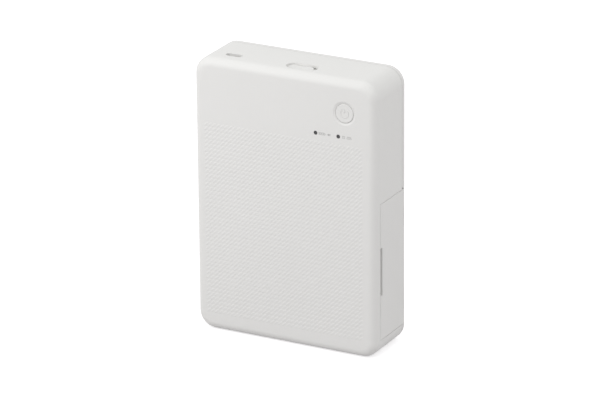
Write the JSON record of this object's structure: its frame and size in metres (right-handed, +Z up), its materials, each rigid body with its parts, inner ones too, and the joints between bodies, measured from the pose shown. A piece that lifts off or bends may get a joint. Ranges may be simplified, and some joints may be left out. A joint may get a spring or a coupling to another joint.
{
  "type": "photo printer",
  "caption": "Compact upright white photo printer with a dotted front panel, hinged paper cover, side cassette door, ink cassette, feed rollers, gear trains and sliding print head.",
  "frame": {"origin": "middle of the base on the surface that the printer stands on, standing on its short end", "axes": "+X across the width to the right, +Y towards the rear, +Z up its height"},
  "size_m": [0.1022, 0.033, 0.1458],
  "materials": {
    "case_white": "fine satin grain",
    "inner_grey": "matt moulded",
    "paper": "smooth uncoated edge",
    "plate_steel": "zinc-plated sheet",
    "bright_steel": "ground bar",
    "spring_steel": "drawn wire",
    "black_rubber": "ground matt",
    "grey_rubber": "soft matt",
    "smoked_window": "polished",
    "screw_dark": "black oxide",
    "gear_white": "waxy acetal",
    "brass": "machined",
    "bronze": "sintered",
    "cassette_black": "fine spark grain",
    "spool_grey": "smooth",
    "film_supply": "glossy film",
    "film_used": "glossy film",
    "lever_orange": "smooth",
    "aluminium": "extruded",
    "ceramic": "glazed line",
    "flex_amber": "polyimide film",
    "board_green": "solder mask",
    "chip_black": "moulded",
    "battery_wrap": "shrink film"
  },
  "bodies": {
    "body": {"front_case": "case_white", "case_posts": "case_white", "rear_case": "case_white", "cover_hinge_pins": "bright_steel", "door_hinge_pin": "bright_steel", "latch_spring": "spring_steel", "led_windows": "smoked_window", "rear_feet": "grey_rubber", "case_screws": "screw_dark", "left_plate": "plate_steel", "right_plate": "plate_steel", "tie_rods": "bright_steel", "inner_screws": "screw_dark", "paper_tray": "inner_grey", "label_sheets": "paper", "exit_guide": "inner_grey", "bushings": "bronze", "feed_motor": "plate_steel", "gear_pins": "bright_steel", "ribbon_motor": "plate_steel", "head_stay": "plate_steel", "head_springs": "spring_steel", "head_cable": "flex_amber", "main_board": "board_green", "board_chips": "chip_black", "shield_can": "plate_steel", "tact_switch": "chip_black", "usb_shell": "bright_steel", "usb_tongue": "chip_black", "battery": "battery_wrap"},
    "cover": {"paper_cover": "case_white", "cover_feet": "grey_rubber", "pressure_springs": "spring_steel"},
    "sheet_presser": {"pressure_plate": "inner_grey"},
    "door": {"side_door": "case_white"},
    "release": {"latch_slider": "case_white"},
    "button": {"power_button": "case_white"},
    "feed": {"feed_roller": "bright_steel", "feed_gear": "gear_white"},
    "pinch": {"pinch_roller": "black_rubber"},
    "platen": {"platen_shaft": "bright_steel", "platen_rubber": "black_rubber"},
    "feed_motor_shaft": {"feed_pinion": "brass"},
    "reduction": {"reduction_gear": "gear_white"},
    "idler": {"pickup_idler": "gear_white"},
    "pickup": {"pickup_shaft": "bright_steel", "pickup_gear": "gear_white", "pickup_tyres": "black_rubber"},
    "ribbon_motor_shaft": {"ribbon_pinion": "brass"},
    "ribbon_reduction": {"ribbon_gear": "gear_white"},
    "spindle": {"spindle_gear": "gear_white"},
    "cassette": {"cassette_case": "cassette_black", "ribbon_film": "film_supply"},
    "supply": {"supply_spool": "spool_grey", "supply_roll": "film_supply"},
    "takeup": {"takeup_spool": "spool_grey", "takeup_roll": "film_used"},
    "cassette_detent": {"cassette_latch": "lever_orange"},
    "head": {"print_head": "aluminium", "heater_strip": "ceramic"}
  },
  "joints": [
    {"name": "cover_hinge", "type": "hinge", "parent": "body", "child": "cover", "pos_m": [0, 0.01445, 0.08415], "axis": [-1, 0, 0], "range_deg": [0, 90]},
    {"name": "pressure_plate_slide", "type": "slide", "parent": "cover", "child": "sheet_presser", "axis": [0, 1, 0], "range_m": [0, 0.002], "stiffness_N_per_m": 120, "springref_m": -0.001, "deforming": ["pressure_springs"]},
    {"name": "door_hinge", "type": "hinge", "parent": "body", "child": "door", "pos_m": [0.0491, 0.01445, 0.0457], "axis": [0, 0, 1], "range_deg": [0, 95]},
    {"name": "release_slide", "type": "slide", "parent": "body", "child": "release", "axis": [1, 0, 0], "range_m": [0, 0.0025], "stiffness_N_per_m": 250, "springref_m": -0.001, "deforming": ["latch_spring"]},
    {"name": "power_button_press", "type": "slide", "parent": "body", "child": "button", "axis": [0, 1, 0], "range_m": [0, 0.0005], "stiffness_N_per_m": 900, "springref_m": -0.0005},
    {"name": "feed_turn", "type": "hinge", "parent": "body", "child": "feed", "pos_m": [0, 0.0086, 0.0466], "axis": [1, 0, 0], "continuous": true},
    {"name": "pinch_turn", "type": "hinge", "parent": "body", "child": "pinch", "pos_m": [0, 0.0035, 0.0466], "axis": [1, 0, 0], "continuous": true},
    {"name": "platen_turn", "type": "hinge", "parent": "body", "child": "platen", "pos_m": [0, 0.0101, 0.037], "axis": [1, 0, 0], "continuous": true},
    {"name": "reduction_turn", "type": "hinge", "parent": "body", "child": "reduction", "pos_m": [-0.047, 0.00382, 0.05487], "axis": [1, 0, 0], "continuous": true},
    {"name": "feed_motor_turn", "type": "hinge", "parent": "body", "child": "feed_motor_shaft", "pos_m": [-0.046, -0.0019, 0.06715], "axis": [1, 0, 0], "continuous": true},
    {"name": "idler_turn", "type": "hinge", "parent": "body", "child": "idler", "pos_m": [-0.045, -0.00282, 0.07766], "axis": [1, 0, 0], "continuous": true},
    {"name": "pickup_turn", "type": "hinge", "parent": "body", "child": "pickup", "pos_m": [0, 0.0004, 0.09185], "axis": [1, 0, 0], "continuous": true},
    {"name": "spindle_turn", "type": "hinge", "parent": "body", "child": "spindle", "pos_m": [-0.042, -0.006, 0.021], "axis": [1, 0, 0], "continuous": true},
    {"name": "ribbon_reduction_turn", "type": "hinge", "parent": "body", "child": "ribbon_reduction", "pos_m": [-0.043, 0.00501, 0.02004], "axis": [1, 0, 0], "continuous": true},
    {"name": "ribbon_motor_turn", "type": "hinge", "parent": "body", "child": "ribbon_motor_shaft", "pos_m": [-0.045, -0.00041, 0.00984], "axis": [1, 0, 0], "continuous": true},
    {"name": "cassette_slide", "type": "slide", "parent": "body", "child": "cassette", "axis": [1, 0, 0], "range_m": [0, 0.0025]},
    {"name": "supply_turn", "type": "hinge", "parent": "cassette", "child": "supply", "pos_m": [0, -0.006, 0.053], "axis": [1, 0, 0], "continuous": true},
    {"name": "takeup_turn", "type": "hinge", "parent": "cassette", "child": "takeup", "pos_m": [0, -0.006, 0.021], "axis": [1, 0, 0], "continuous": true},
    {"name": "cassette_detent_turn", "type": "hinge", "parent": "body", "child": "cassette_detent", "pos_m": [0.0432, 0.009, 0.0665], "axis": [-1, 0, 0], "range_deg": [0, 12], "stiffness_Nm_per_rad": 0.01, "springref_deg": -5.73},
    {"name": "head_slide", "type": "slide", "parent": "body", "child": "head", "axis": [0, -1, 0], "range_m": [0, 0.0024], "stiffness_N_per_m": 900, "springref_m": -0.002, "deforming": ["head_springs", "head_cable"]}
  ],
  "couplings": [
    {"joint": "reduction_turn", "follows": "feed_turn", "ratio": -1.375},
    {"joint": "feed_motor_turn", "follows": "feed_turn", "ratio": 3.9286},
    {"joint": "idler_turn", "follows": "feed_turn", "ratio": -1.9643},
    {"joint": "pickup_turn", "follows": "feed_turn", "ratio": 1.8333},
    {"joint": "pinch_turn", "follows": "feed_turn", "ratio": -1.5789},
    {"joint": "platen_turn", "follows": "feed_turn", "ratio": 0.66667},
    {"joint": "ribbon_reduction_turn", "follows": "spindle_turn", "ratio": -2.1429},
    {"joint": "ribbon_motor_turn", "follows": "spindle_turn", "ratio": 4.898},
    {"joint": "takeup_turn", "follows": "spindle_turn", "ratio": 1}
  ]
}
